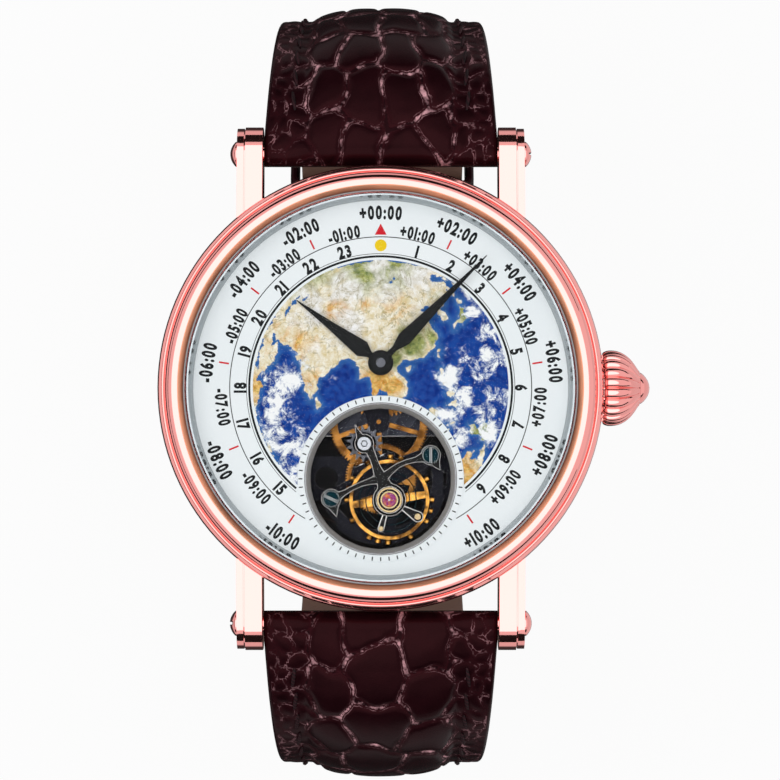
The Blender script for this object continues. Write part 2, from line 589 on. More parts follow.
# Coasts as longitudes and latitudes in degrees, one outline of land after the other
LANDS = """32.6 30 34.5 28 35 29.5 37 26 39 21.5 42.5 16.5 43.3 12.7 45 12.8 49 14.2 52.2 15.6 55 17 57 18.9
59.8 22.5 58.6 23.6 56.4 24.8 56.3 26.3 54.5 24.3 51.5 24.4 51.5 26 50.2 26.5 48.6 28.5 48 30 50 30.1 51.5
27.9 54.5 26.6 56.8 27.1 58.5 25.6 61.5 25.1 66.5 25.3 68 23.7 70 22.6 69 22.3 70.2 20.9 72.2 21.2 72.8 19
73.5 16 74.5 13.5 75.8 11.3 77.5 8.1 78.2 8.9 79.2 10.2 80 12 80.2 15.5 82.2 16.7 84 18.5 86.5 20 87 21.5
90.5 22.2 92 21.2 93.5 19.5 94.4 17.5 94.4 16 96 16.3 97.3 16.8 97.7 15 98.5 12.5 98.4 10 98.2 8 99.8 6.5
100.6 4.2 101.5 2.9 103.4 1.4 104.2 1.5 103.4 4 103 5.8 101.5 6.9 100.2 8.5 99.3 9.6 99.8 11.5 100 13.3 101
13.3 101 12.7 102.5 12 103.7 10.5 104.8 10.2 104.8 8.7 106.7 10 109 11.5 109.3 13 108.5 15.7 107 17 105.8
18.8 106.5 20.2 108 21.6 109.7 21.5 110.2 20.4 110.6 21.3 113.5 22.2 116 22.9 118.2 24.5 119.8 26 121.5 28.5
122 30 121 31.8 120.3 34 119.3 35 122.3 37 120.8 37.8 118.9 37.6 117.8 39 121.5 40.8 121.5 39 124 39.9 125.2
38.5 126.3 36.8 126.3 34.6 129 35.2 129.4 37 127.6 39.5 129.8 41 131.8 43 135.5 44.5 138.5 47 140.5 50.5
141.3 53 138 54 135.5 54.8 141 58.5 147 59.4 155 59.3 156 57 156.5 51.2 159.5 53.2 163 56.5 163 59 170 60
179 62.5 185 64.8 190 66 179 69 170 70 160 69.7 150 71.5 140 72.8 130 71.5 125 73.5 113 74 105 77.5 95 76 87
75 80 73 73 71.5 70 73 68 69 60 69 54 68.5 45 68 40 65 35 67 30 70 20 70 12 65 8 58 12 55 5 52 -2 48 -9 43
-9 37 0 38 10 44 15 40 20 40 27 37 36 36.5 35 32/32.5 30 35.5 24 37.3 20 39 16 43 12 44.5 10.4 51.2 11.8
50.8 9 48 4.5 44 1 41.5 -2 39.5 -5 39.2 -8 40.6 -11 40.6 -15 36.5 -18.5 35 -21 35.4 -24 32.7 -26 32.5 -29 28
-33 20 -34.8 16 -28 12 -17 9 0 0 6 -10 8 -15 20 -5 35 10 37 20 32 30 31.2/47 45 51 47 53 45 51.5 42 53.5 39
51 37 49 38 49 41 47.5 43/58 44 61 46 61 44 59 43.5/104 51.6 107 52 109.5 54.5 109.8 55.6 107.5 53.4/79.8 9
80.2 9.7 81.3 8.5 81.8 7 80.6 5.9 79.9 7/95.3 5.5 98 4.2 100.4 2.5 103.5 -1 106 -3 105.8 -5.8 104 -5.5 101.5
-3 99 0 97 3/105.3 -6.5 108.5 -6.7 111 -6.5 114.5 -7.7 114.3 -8.7 110 -8.2 106.4 -7.4/109 1.7 111.3 2.5 113
3.2 115.5 5.5 117 7 119.2 5.2 118 3.5 117.8 1 116.5 -1.5 116 -4 114.5 -4 111.8 -3.4 110.1 -1.5 109 0.3/120 1
123.5 0.9 125 1.6 123 0.3 120.3 0.4 121 -1 123.3 -0.8 121.8 -1.8 122.8 -4.3 121.6 -4.5 121 -2.9 120.3 -5.5
119.5 -5.4 119 -3 119.8 -0.2/131 -0.8 134 -0.8 135 -3.3 138 -1.7 141 -2.6 145.5 -4.8 148 -8.5 150.5 -10.5
147 -9.5 144 -7.7 141 -9.1 138 -8.2 138.5 -6.8 135 -4.5 133 -4 132 -2.8 134 -2.2/120.5 18.5 122.2 18.4 121.6
15.8 124 13 121 13.7 120.2 15/122 7 124 8.5 126.3 8.5 126.2 6.3 125.5 5.8 124 6.7/122.8 11.5 125 11.5 125 10
123.5 9.5 122.5 10.5/121 25.2 122 25 121 22 120.1 23.2/108.7 19.3 110.5 20.1 111 19.6 109.5 18.2/130 33.5
132 34 135.5 35.6 137 37 139.5 38.5 140 41 142 39.5 141 37 140.5 35.5 138 34.7 135.7 33.5 133 34.2 131.3
31.5 130.2 31.3/140 42 141.6 45.3 145.3 43.3 143.2 42 141 42.5/142 46 142 50 142.7 54 143.5 52 143.6 49 143
47/113.5 -22 114 -26 115.5 -31 115 -34.3 118 -35 124 -33 131 -31.5 135.5 -34.8 138 -33 140 -38 146.5 -39 150
-37 153.5 -28 150.5 -23 146 -19 145.3 -15 142.5 -10.8 141.5 -14 140.8 -17.5 137.5 -16 135.5 -14.8 136.8
-12.2 132.5 -11.4 130.7 -12.5 129.5 -15 128 -14.8 126 -14 123.7 -16.5 122.2 -18 119 -20 116.7 -20.7/49.3 -12
50.4 -15.7 49 -18 47 -25 45 -25.5 43.3 -22 44.4 -19.5 44.5 -16.3 47 -15.5/116 -8.2 119 -8.3 122.8 -8.2 122.5
-8.9 119 -8.9 116 -8.9/123.5 -10.3 127 -8.4 125 -9.5"""
# Tints as longitude, latitude, reach in degrees and strength: dry sand, green, snow and haze, then clouds
TINTS = {"dry": """82 39 6 1/95 41 5 .7/66 46 8 .6/60 30 10 .5/48 24 12 .5/107 42 11 .7/72 26 8 .7/77 15 6 .8/
100 15 9 1/104 14 6 1/125 -20 16 1/42 8 10 .8/96 22 6 .5""", "green": """85 62 12 1/60 58 10 .8/108 64 14 1/
92 50 5 .5/70 54 6 .5/112 27 9 1/106 22 6 .9/118 29 6 .8/128 46 9 .6/100 62 9 .9/125 62 10 .7/60 60 12 .7/
45 55 14 .7/141 37 7 .8/114 0 7 .9/140 -5 8 .9/102 0 6 .7/79 9 3 .6""", "snow": """88 33 11 .8/72 37 8 .8/
80 50 12 .85/105 50 12 .75/65 44 10 .75/125 54 12 .8/76 24 6 .7/60 36 7 .6/95 74 8 .8/62 35 8 .5/76 22 6 .6/
116 38 7 .6""", "cloud": """66 13 8 .95/62 3 8 .9/60 -8 7 .8/70 -10 8 .9/80 -9 8 .85/75 20 5 .6/90 -12 8 .8/
66 -22 10 .85/88 5 4 .35/122 22 4 .5/124 15 6 1/128 8 6 .9/122 3 6 .95/117 -4 7 .95/112 10 3 .4/133 22 5 .7/
140 15 6 .8/146 22 5 .8/138 3 6 .85/130 -5 6 .85/145 8 6 .8/150 30 6 .7/135 33 4 .5/150 40 6 .7/160 20 6 .8/
144 -6 6 .8/120 -14 5 .6/160 45 7 .8/95 8 3 .3/86 15 3 .3/155 5 6 .8/100 -14 9 .8"""}


def seen_from_above(lon, lat):
    """Place on the disc in mm of a spot seen from VIEW_AWAY earth radii; hidden spots go to the rim"""
    lon, lat, mid = np.radians(lon - VIEW_LON), np.radians(lat), math.radians(VIEW_LAT)
    x = np.cos(lat) * np.sin(lon)
    y = math.cos(mid) * np.sin(lat) - math.sin(mid) * np.cos(lat) * np.cos(lon)
    near = math.sin(mid) * np.sin(lat) + math.cos(mid) * np.cos(lat) * np.cos(lon)
    scale = (VIEW_AWAY - 1) / (VIEW_AWAY - near) / math.sqrt((VIEW_AWAY - 1) / (VIEW_AWAY + 1))
    rim = 1.02 / np.maximum(np.hypot(x, y), 1e-6)
    scale = np.where(near < 1 / VIEW_AWAY, rim, scale)
    return np.stack([x * scale, y * scale], -1) * GLOBE_R


def table(text, width):
    """Rows of numbers from text, one table between each two strokes"""
    return [np.array(row.split(), float).reshape(-1, width) for row in text.split("/")]


# Offset print on white lacquer: deep blue sea, sand and moss coloured land, white weather. Its noises
# are given as grain in mm, detail, roughness and distortion.
print_ink, tree, shader, place = material("globe_print_lacquered", "#1c4a9a", 0.0, 0.3,
                                          {"Specular IOR Level": 0.04})
crinkle, swell, mottle, patch, ridge, wind = [
    add(tree, "TexNoise", {"mm": size, "Detail": detail, "Roughness": rough, "Distortion": bent}, place)
    for size, detail, rough, bent in ((0.9, 8.0, 0.65, 0.0), (0.5, 6.0, 0.5, 0.0), (0.7, 12.0, 0.78, 0.25),
                                      (2.6, 12.0, 0.62, 1.4), (1.7, 7.0, 0.6, 0.8), (1.5, 14.0, 0.78, 0.35))]
coast, cloud = [add(tree, "Attribute", {"attribute_name": name}).outputs["Fac"] for name in ("coast", "cloud")]
climate = add(tree, "Attribute", {"attribute_name": "climate"}).outputs["Color"]
tints = add(tree, "SeparateColor", {}, climate).outputs
shift = add(tree, "MapRange", {"From Min": 0.2, "From Max": 0.8, "To Min": -0.35, "To Max": 0.35}, crinkle)
shore = add(tree, "Math", {"operation": "ADD"}, {0: coast, 1: shift})
is_land = add(tree, "MapRange", {"From Min": -0.02, "From Max": 0.03}, shore)
shallow = add(tree, "MapRange", {"From Min": -0.55, "From Max": 0.1}, shore)
swell = add(tree, "MapRange", {"From Min": 0.3, "From Max": 0.7}, swell)
sea = add(tree, "Mix", {"A": "#08287a", "B": "#1a4da6"}, swell)
shoal = add(tree, "Math", {"operation": "MULTIPLY", 1: 0.55}, shallow)
sea = add(tree, "Mix", {"B": "#4f8fc4"}, {0: shoal, "A": sea})
patch = add(tree, "MapRange", {"From Min": 0.32, "From Max": 0.68}, patch)
speckle = add(tree, "MapRange", {"From Min": 0.4, "From Max": 0.6}, mottle)
land = add(tree, "Mix", {"A": "#dfcd9c", "B": "#fdf9ec"}, speckle)
for tint, low, high, reach in (("Red", "#cf8420", "#f3cf78", 0.95), ("Green", "#41662a", "#b0b558", 0.9),
                               ("Blue", "#dcd6c8", "#ffffff", 0.92)):
    pair = add(tree, "Mix", {"A": low, "B": high}, speckle)
    much = add(tree, "Math", {"operation": "MULTIPLY_ADD", 1: 0.5}, {0: patch, 2: tints[tint]})
    much = add(tree, "MapRange", {"From Min": 0.7, "From Max": 1.05, "To Max": reach}, much)
    land = add(tree, "Mix", {}, {0: much, "A": land, "B": pair})
ridge = add(tree, "Math", {"operation": "COMPARE", 1: 0.5, 2: 0.014}, ridge)
ridge = add(tree, "Math", {"operation": "MULTIPLY", 1: 0.45}, ridge)
land = add(tree, "Mix", {"B": "#7f7434"}, {0: ridge, "A": land})
ground = add(tree, "Mix", {}, {0: is_land, "A": sea, "B": land})
wind = add(tree, "MapRange", {"From Min": 0.33, "From Max": 0.67}, wind)
heap = add(tree, "Math", {"operation": "MULTIPLY_ADD", 1: 0.84}, {0: cloud, 2: wind})
cover = add(tree, "MapRange", {"From Min": 0.92, "From Max": 1.2}, heap)
shade = add(tree, "Mix", {"A": "#c3d3e2", "B": "#fbfdfd"}, cover)
surface(shader, add(tree, "Mix", {}, {0: cover, "A": ground, "B": shade}))

rings = [[(r * c, r * s, GLOBE_TOP) for c, s in circle(GLOBE_SPOKES)]
         for r in (GLOBE_R * k / GLOBE_RINGS for k in range(GLOBE_RINGS + 1))]
globe = piece("globe_print", [swept(rings + [[(x, y, GLOBE_LOW) for x, y, z in rings[-1]]])], "case", print_ink,
              "globe_print", "globe_disc")
cut_from(globe, [turned([(0, 6), (WINDOW_R, 6), (WINDOW_R, 8), (0, 8)], 240, CAGE)], print_ink)

# Each point of the print learns how far it is inside a coast or out at sea, and how strong each tint is
COAST_STEPS, TINT_REACH = 6, 0.26
mesh = globe.data
spots = np.array([v.co[:2] for v in mesh.vertices]) / MM
distance, inside = np.full(len(spots), 99.0), np.zeros(len(spots), bool)
for outline in table(LANDS, 2):
    steps = [a + (b - a) * k / COAST_STEPS for a, b in zip(outline, np.roll(outline, -1, 0))
             for k in range(COAST_STEPS)]
    line = seen_from_above(*np.array(steps).T)
    for a, b in zip(line, np.roll(line, -1, 0)):
        along = b - a
        t = np.clip(((spots - a) @ along) / max(along @ along, 1e-12), 0, 1)
        distance = np.minimum(distance, np.linalg.norm(spots - a - t[:, None] * along, axis=1))
        crosses = (a[1] > spots[:, 1]) != (b[1] > spots[:, 1])
        if a[1] != b[1]:
            inside ^= crosses & (spots[:, 0] < a[0] + (spots[:, 1] - a[1]) * along[0] / along[1])
values = {"coast": np.where(inside, distance, -distance)}
for name, text in TINTS.items():
    total = np.zeros(len(spots))
    for lon, lat, reach, much in np.vstack(table(text, 4)):
        far = np.linalg.norm(spots - seen_from_above(lon, lat), axis=1)
        total = np.maximum(total, much * np.exp(-(far / (reach * TINT_REACH)) ** 2))
    values[name] = total
for name in ("coast", "cloud"):
    mesh.attributes.new(name, "FLOAT", "POINT").data.foreach_set("value", values[name].astype(np.float32))
colours = np.stack([values["dry"], values["green"], values["snow"], np.ones(len(spots))], -1).astype(np.float32)
mesh.attributes.new("climate", "FLOAT_COLOR", "POINT").data.foreach_set("color", colours.ravel())

# ---- Hands and the two rings round the opening ----
# Steel hands, blackened and polished, pressed on their pipes. A white ring with sixty marks lies
# round the tourbillon's opening, and a steel ring with a sloping lip lines it.
paint(satin("steel_blackened_polished", "#07090b", 0.22, 0.4, 1.5, 3.0, 0.3, 0.1), "hour_hand", "minute_hand")

# Steel, ground and polished: cool grey mirrors with faint grinding lines.
steel = polish("steel_polished", "#8e9095", roughness=0.14, patch_mm=2.0, line_mm=0.06, depth_mm=0.0008)
paint(steel, "movement_ring", "mainspring", "barrel_arbor", "ratchet_wheel", "click", "crown_wheel",
      "winding_stem", "winding_pinion", "sliding_pinion", "setting_lever", "balance_staff", "pallet_fork")
# The click's spring is a straight wire on a screwed foot, and its free end follows the click
FOOT_END, FREE_END = (0.95 * MM, 10.6 * MM, 1.8 * MM), (3.4 * MM, 11.36 * MM, 1.8 * MM)
dressed("click_spring", "drawn", [steel], 0.02, bends=("case", "click", FOOT_END, FREE_END))
# Steel, ground fine and left grey.
grey_steel = polish("steel_ground", "#4a4b50", roughness=0.3, line_mm=0.05, depth_mm=0.0015)
dressed("cannon_pinion", "domed", [grey_steel], 0.14)
# Steel, brushed round the opening's own centre: broad grey, with fine circular lines.
brushed, tree, shader, place = material("steel_brushed_round", "#a9a7a5", 0.45, 0.5)
level_place = add(tree, "VectorMath", {"operation": "MULTIPLY", 1: (1, 1, 0)}, place)
away = add(tree, "VectorMath", {"operation": "DISTANCE", 1: (CAGE[0] * MM, CAGE[1] * MM, 0)}, level_place)
lines = add(tree, "TexNoise", {"noise_dimensions": "1D", "mm": 0.05, "Detail": 3.0}, {"W": away})
tone = add(tree, "Mix", {"A": "#7d7b79", "B": "#cfcdca"}, lines)
surface(shader, tone, None, lines)
dressed("aperture_ring", "brushed", [brushed, steel], 0.04)

# ---- Movement ----
# The movement is a brass plate and three bridges, plated dark; its wheels are gilt brass and its
# screws blued. Edges that a watchmaker bevels and polishes by hand catch the light as thin lines.


def parts_of(metal):
    """The tree, the shader and the object coordinates of a polished metal, to work its pattern further"""
    nodes = metal.node_tree.nodes
    return metal.node_tree, nodes["Principled BSDF"], nodes["Texture Coordinate"].outputs["Object"]


# Black rhodium over perlage: nearly black, with a dull sheen in overlapping ground spots of 1.1 mm.
dark_plate = polish("brass_black_rhodium", "#141418", roughness=0.3, patch_mm=3.0, line_mm=0.05, depth_mm=0.002)
tree, shader, place = parts_of(dark_plate)
pearls = add(tree, "TexVoronoi", {"mm": 1.1, "Randomness": 0.0, "voronoi_dimensions": "2D"}, place)
grind = add(tree, "TexNoise", {"noise_dimensions": "1D", "Scale": 22.0, "Detail": 2.0}, {"W": pearls})
join(tree.nodes["Bump"], {"Height": grind})
surface(shader, gloss=add(tree, "MapRange", {"To Min": 0.2, "To Max": 0.42}, grind))
paint(dark_plate, "main_plate", "tourbillon_bridge")
# Brass, bevelled and polished with a burin: thin bright lines along the edges.
bright_bevel = polish("bevel_polished", "#c9c6c4", roughness=0.18, line_mm=0.05)
# Ruthenium over stripes: dark grey, in broad soft bands from the grinding wheel, 1.5 mm apart.
STRIPE_MM, WAVE = 1.5, 0.314
ruthenium = polish("brass_ruthenium_striped", "#202126", roughness=0.24)
tree, shader, place = parts_of(ruthenium)
slanted = add(tree, "Mapping", {"Rotation": (0, 0, 0.6)}, place)
bands = add(tree, "TexWave", {"Scale": WAVE / (STRIPE_MM * MM), "wave_profile": "SAW"}, slanted).outputs["Fac"]
surface(shader, add(tree, "Mix", {"A": "#17181c", "B": "#303138"}, bands),
        add(tree, "MapRange", {"To Min": 0.14, "To Max": 0.42}, bands))
for node in ("barrel_bridge", "train_bridge"):
    dressed(node, "striped", [ruthenium, bright_bevel], 0.12)


def worn_by_light(metal, low, high):
    """Lets the tone of a polished metal wander between two values, as the mirrors in a dark case do"""
    tree, shader, place = parts_of(metal)
    drift = add(tree, "TexNoise", {"mm": 1.3, "Detail": 3.0}, place)
    drift = add(tree, "MapRange", {"From Min": 0.38, "From Max": 0.62}, drift)
    surface(shader, add(tree, "Mix", {"A": low, "B": high}, drift))


# Brass, gilt and circular grained: warm amber with a soft gloss.
gilt = polish("brass_gilt", "#80532a", roughness=0.25, line_mm=0.05, depth_mm=0.0015)
worn_by_light(gilt, "#4c2f14", "#94652f")
paint(gilt, "fixed_wheel", "third_wheel", "center_wheel", "minute_wheel", "hour_wheel", "barrel_drum")
# Steel, polished and blued in a flame: dark blue that turns green where it catches light.
blued = polish("steel_blued", "#081d22", roughness=0.12, line_mm=0.05)
paint(blued, "movement_screws", "hairspring")
# Synthetic ruby, polished.
paint(clear("ruby_polished", "#c01050", 1.3), "bridge_jewels")

# ---- Tourbillon ----
# The cage turns once a minute with the whole escapement in it: a black polished bridge over a base,
# with a hand bevelled edge, held by two blued screws, over a gold balance with timing screws.
black_steel = satin("steel_black_polished", "#050506", 0.16, 0.34, 1.0, 3.0, 0.25, 0.12)
dressed("cage_bridge", "bevelled", [black_steel, bright_bevel], 0.13)
dressed("cage_base", "bevelled", [dark_plate, bright_bevel], 0.07)
dressed("stud_holder", "bevelled", [black_steel, bright_bevel], 0.1)
dressed("regulator", "bevelled", [black_steel, bright_bevel], 0.09, clamp=False)
dressed("cage_screws", "slotted", [blued, bright_bevel], 0.04)
dressed("escape_cap", "polished", [steel], 0.07)
paint(grey_steel, "escape_wheel")
# Gold alloy, polished: the balance and its timing screws, deep yellow.
balance_gold = polish("gold_alloy_polished", "#8e5f2a", roughness=0.2, line_mm=0.05)
worn_by_light(balance_gold, "#4f3316", "#c08c42")
dressed("balance_wheel", "polished", [balance_gold], 0.08)
# Each timing screw is turned round a spoke of the rim: distance from the balance's axis and radius
BALANCE, RIM_MID = (0.81, -10.56), 4.9
SCREW_LINE = ((3.75, 0.14), (3.84, 0.14), (3.84, 0.27), (3.88, 0.31), (4.22, 0.31), (4.25, 0.27), (4.25, 0.07),
              (4.16, 0.07))
heads = []
for angle in (0, 29, 61.8, 74.6, 88.5, 120, 150, 165):
    for half in (0, 180):
        c, s = cos_sin(angle + half)
        heads.append(swept([[(BALANCE[0] + r * c - q * u * s, BALANCE[1] + r * s + q * u * c, RIM_MID + q * v)
                             for u, v in circle(24)] for r, q in SCREW_LINE]))
piece("timing_screws", heads, frame["nodes"]["balance_screws"]["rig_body"], balance_gold, "balance_gold",
      "balance_screws", smooth=50)

# The balance turns in a drilled ruby held in a pale gold ring, let into the cage bridge with a black
# polished ring round it. Two small studs stand on the regulator and on the arm of the hairspring.
pale_gold = polish("gold_pale_polished", "#978668", roughness=0.16, line_mm=0.05)
# Synthetic ruby, drilled and polished: magenta with an orange flame where light leaves it.
flame, tree, shader, place = material("ruby_drilled_polished", "#8a1048", 0.0, 0.12, {"Specular IOR Level": 0.4})
glint = add(tree, "TexNoise", {"mm": 0.45, "Detail": 2.0, "Distortion": 0.8}, place)
glint = add(tree, "MapRange", {"From Min": 0.42, "From Max": 0.6}, glint)
surface(shader, add(tree, "Mix", {"A": "#8c0c6c", "B": "#d8702c"}, glint))
cage_body = frame["nodes"]["balance_jewel"]["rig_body"]
JEWEL_SET = (  # outlines as (radius, height), each with its material: two gold rings, the black one, the stone
    ([(0.98, 6.02), (1.21, 6.02), (1.21, 6.33), (1.17, 6.38), (1.02, 6.38), (0.98, 6.34)], 0),
    ([(0.64, 6.02), (0.86, 6.02), (0.86, 6.38), (0.82, 6.42), (0.69, 6.42), (0.64, 6.36)], 0),
    ([(0.86, 6.02), (0.98, 6.02), (0.98, 6.3), (0.86, 6.3)], 1),
    ([(0.12, 6.05), (0.64, 6.05), (0.64, 6.34), (0.58, 6.36), (0.4, 6.32), (0.25, 6.25), (0.14, 6.22),
      (0.12, 6.2)], 2))
piece("balance_jewel_set", [(*turned(line, 96, BALANCE), skin) for line, skin in JEWEL_SET], cage_body,
      [pale_gold, black_steel, flame], "ruby", "balance_jewel")
STUDS = ((0.02, -13.28, 5.74, 0.27), (3.49, -12.15, 5.94, 0.34))
STUD_LINE = ((1, 0), (1, 0.1), (0.85, 0.16), (0.62, 0.17), (0.58, 0.13), (0.4, 0.13), (0.36, 0.2), (0, 0.22))
piece("hairspring_studs", [turned([(0, z)] + [(r * far, z + up) for far, up in STUD_LINE], 48, (x, y))
                           for x, y, z, r in STUDS], cage_body, pale_gold, "polished_steel")

# ---- Strap ----
# Two halves of glazed alligator, padded with felt in the middle, turned over at the edges, sewn
# along both sides to a calf lining and looped round the strap bars. Leather this stiff keeps the
# curve that the halves are pressed in, so they are modelled directly.
STRAP_START, BEND_R = math.radians(10.5), 16.87
BEND_LEN = (math.pi / 2 - STRAP_START) * BEND_R
NOSE_R, END_R, LINING_T, MARGIN_T, PAD_H = 1.22, 1.15, 1.2, 1.0, 1.3
STRAP_W, BUCKLE_W, CASE_LEN, CASE_W = 22.0, 18.0, 21, 19.9
SHORT, LONG = (75, 75, False), (115, 95, True)      # length, radius of the far bend, whether it is at 6 o'clock


def ramp(x, x0, x1, y0, y1):
    return y0 + (y1 - y0) * min(1.0, max(0.0, (x - x0) / (x1 - x0)))


def strap_frame(s, far_r):
    """Place (y, z) on the strap's centre line s mm from the bar, its direction and its outward normal"""
    heading = STRAP_START + max(0.0, s) / BEND_R if s < BEND_LEN else math.pi / 2 + (s - BEND_LEN) / far_r
    y1, z1 = BAR_Y - BEND_R * math.sin(STRAP_START), BAR_Z - BEND_R * math.cos(STRAP_START)
    out = np.array([math.sin(heading), math.cos(heading)])
    along = np.array([math.cos(heading), -math.sin(heading)])
    if s < 0:
        spot = np.array([BAR_Y, BAR_Z]) + s * along
    elif s < BEND_LEN:
        spot = np.array([y1, z1]) + BEND_R * out
    else:
        spot = np.array([y1 + BEND_R - far_r, z1]) + far_r * out
    return spot, along, out


def local(half, s, x, t, n):
    """A point given across, along and out from one half of the strap at s"""
    spot, along, out = strap_frame(s, half[1])
    y, z = spot + along * t + out * n
    return x, -y if half[2] else y, z


def strap_half_width(s, length):
    """Half of the width: the strap narrows fast beside the case and slowly to the buckle"""
    beside_case = ramp(s, 1, CASE_LEN, STRAP_W + 0.3, CASE_W)
    return (beside_case - ramp(s, CASE_LEN, length * 0.75, 0, CASE_W - BUCKLE_W)) / 2


PAD_EDGE, GUTTER_EDGE, GUTTER = 0.68, 0.8, 0.08


def crown_of_pad(t):
    """Height of the padding and of the gutter beside it, from the strap's middle (0) to its edge (1)"""
    dome = np.maximum(0, 1 - (np.minimum(t, PAD_EDGE) / PAD_EDGE) ** 2.6) ** 0.8 * (1 + GUTTER) - GUTTER
    return np.where(t < PAD_EDGE, dome, -GUTTER * np.clip((GUTTER_EDGE - t) / (GUTTER_EDGE - PAD_EDGE), 0, 1))


def scale_seeds(columns, length, pick):
    """Middles of the skin's scales as (s, x, size): staggered columns of large ones, and small round
    ones along the margins"""
    seeds = []
    for x, pitch, size, jitter in columns:
        s = pick.uniform(-2.4, -0.4) + (2.5 if abs(x) > 3 else 0) + (1.2 if x > 0 else 0)
        while s < length + 4:
            seeds.append((s, x + pick.uniform(-jitter, jitter), size))
            s += pitch * pick.uniform(0.85, 1.15)
    for side in (-1, 1):
        for x, pitch in ((8.1, 1.9), (9.6, 1.5), (10.8, 1.4)):
            s = pick.uniform(-2.4, -1.4)
            while s < length + 2:
                seeds.append((s, side * (x + pick.uniform(-0.3, 0.3)), 0.0))
                s += pitch * pick.uniform(0.8, 1.25)
    return np.array(seeds)


ACROSS, EDGE, HEM, LINING_HEM, LINING_STEPS, ROW_STEP, TIP = 121, 4, 0.4, 0.3, 22, 0.25, 9
ROUND = (8, 18, 30, 42, 54, 66, 78)      # degrees of the rows on a rounded end
# Heights of the scales in the middle and on the margin, where the margin starts across the strap, where
# the scales start along it, and how wide the grooves and the creases between them are
SCALE_H, SMALL_SCALE_H, MARGIN_FROM, SCALES_FROM, GROOVE, CREASE = 0.3, 0.09, 0.62, -2.2, 0.62, 1.2


def strap_half(name, body, form, seed, columns):
    """One half: rows of cross-sections from the loop round the bar to the far end, with scales raised on it"""
    length, far_r, mirror = form
    stop = length - TIP * mirror
    rows = [(-NOSE_R * c, s) for c, s in map(cos_sin, ROUND)]
    rows += [(stop * k / int(stop / ROW_STEP), 1.0) for k in range(int(stop / ROW_STEP) + 1)]
    if mirror:
        rows += [(stop + TIP * s, c) for c, s in map(cos_sin, range(2, 87, 3))]
    else:
        rows += [(length + END_R * c, s) for c, s in map(cos_sin, ROUND[::-1])]
    seeds = scale_seeds(columns, length, random.Random(seed))
    rings, tones = [], []
    for s, k in rows:
        half, thick = strap_half_width(s, length), 1.0
        if s < 0 or (not mirror and s > length):
            lo = mid = NOSE_R if s < 0 else END_R
            pad, thick = 0.0, k
        else:
            lo, mid = ramp(s, 0, 4, NOSE_R, LINING_T), ramp(s, 0, 4, NOSE_R, MARGIN_T)
            pad = ramp(s, 0.5, 8, 0, 1) * ramp(s, 8, length - 6, PAD_H, PAD_H * 0.3)
            pad *= ramp(s, length - 7, length - 3, 1, 0.6)
            if not mirror:
                lo, mid, pad = [ramp(s, length - 3, length, *ends)
                                for ends in ((lo, END_R), (mid, END_R), (pad, 0))]
            elif s > stop:
                half *= max(k, 0.06)
                pad *= k
        x = np.linspace(-(half - HEM), half - HEM, ACROSS)
        # Scales are cells round the seeds, their borders bent by two sizes of waves
        wide_x = x * (STRAP_W / 2) / max(half, 1e-6) if s <= stop else x * (STRAP_W / BUCKLE_W)
        bent_s = s + 0.35 * np.sin(1.1 * wide_x + 0.7 * s) + 0.06 * np.sin(2.7 * wide_x - 1.9 * s + 1)
        bent_x = wide_x + 0.35 * np.sin(0.9 * s + 0.6 * wide_x + 2) + 0.06 * np.sin(2.4 * s - 1.6 * wide_x)
        reach = np.hypot(seeds[:, 0] - bent_s[:, None], seeds[:, 1] - bent_x[:, None]) - seeds[:, 2]
        order = np.sort(reach, axis=1)
        gap, near = order[:, 1] - order[:, 0], order[:, 0]
        margin = np.clip((np.abs(x) / half - MARGIN_FROM) / 0.1, 0, 1)
        height = (SCALE_H * (1 - margin) + SMALL_SCALE_H * margin) * np.clip((s - SCALES_FROM) / 2.4, 0, 1)
        if not mirror:
            height = height * np.clip((length - 1 - s) / 3, 0, 1)
        relief = height * (1 - np.exp(-(gap / GROOVE) ** 2)) * (1 - 0.03 * np.clip(near + 1.5, 0, 5) ** 2)
        relief *= np.clip((half - np.abs(x)) / 1.2, 0, 1)
        outer = mid + pad * crown_of_pad(np.abs(x) / half) + relief - 0.06
        # Round the section: the glazed face, a rolled edge, the turned hem, the lining, and back up
        side = arc(half - HEM, outer[-1] - HEM, HEM, 90, 0, EDGE)[1:]
        side += arc(half - LINING_HEM, LINING_HEM - lo, LINING_HEM, 0, -90, EDGE)[:-1]
        lining = [((half - LINING_HEM) * (1 - 2 * part), -lo - 0.05 * math.sin(math.pi * part))
                  for part in (j / LINING_STEPS for j in range(1, LINING_STEPS))]
        section = [*zip(x, outer), *side, *lining, *[(-a, b) for a, b in side[::-1]]]
        spot, along, out = strap_frame(s, far_r)
        places = [(a, *(spot + out * b * thick)) for a, b in section]
        rings.append([(a, -y if mirror else y, z) for a, y, z in places])
        tone = np.clip(1 - gap / CREASE, 0, 1) * np.clip((s - SCALES_FROM) / 0.8, 0, 1) * (1 - 0.3 * margin)
        tones += [*tone, *[0.0] * (len(section) - ACROSS)]
    count = len(rings[0])
    made = piece(name, [swept(rings)], body, [leather, calf], "alligator", smooth=60)
    lined = [int(ACROSS + EDGE < i < count - EDGE - 2) for i in range(count)]
    made.data.polygons.foreach_set("material_index", lined * (len(rows) - 1) + [0, 0])
    made.data.attributes.new("crease", "FLOAT", "POINT").data.foreach_set("value", np.array(tones, np.float32))
    return made


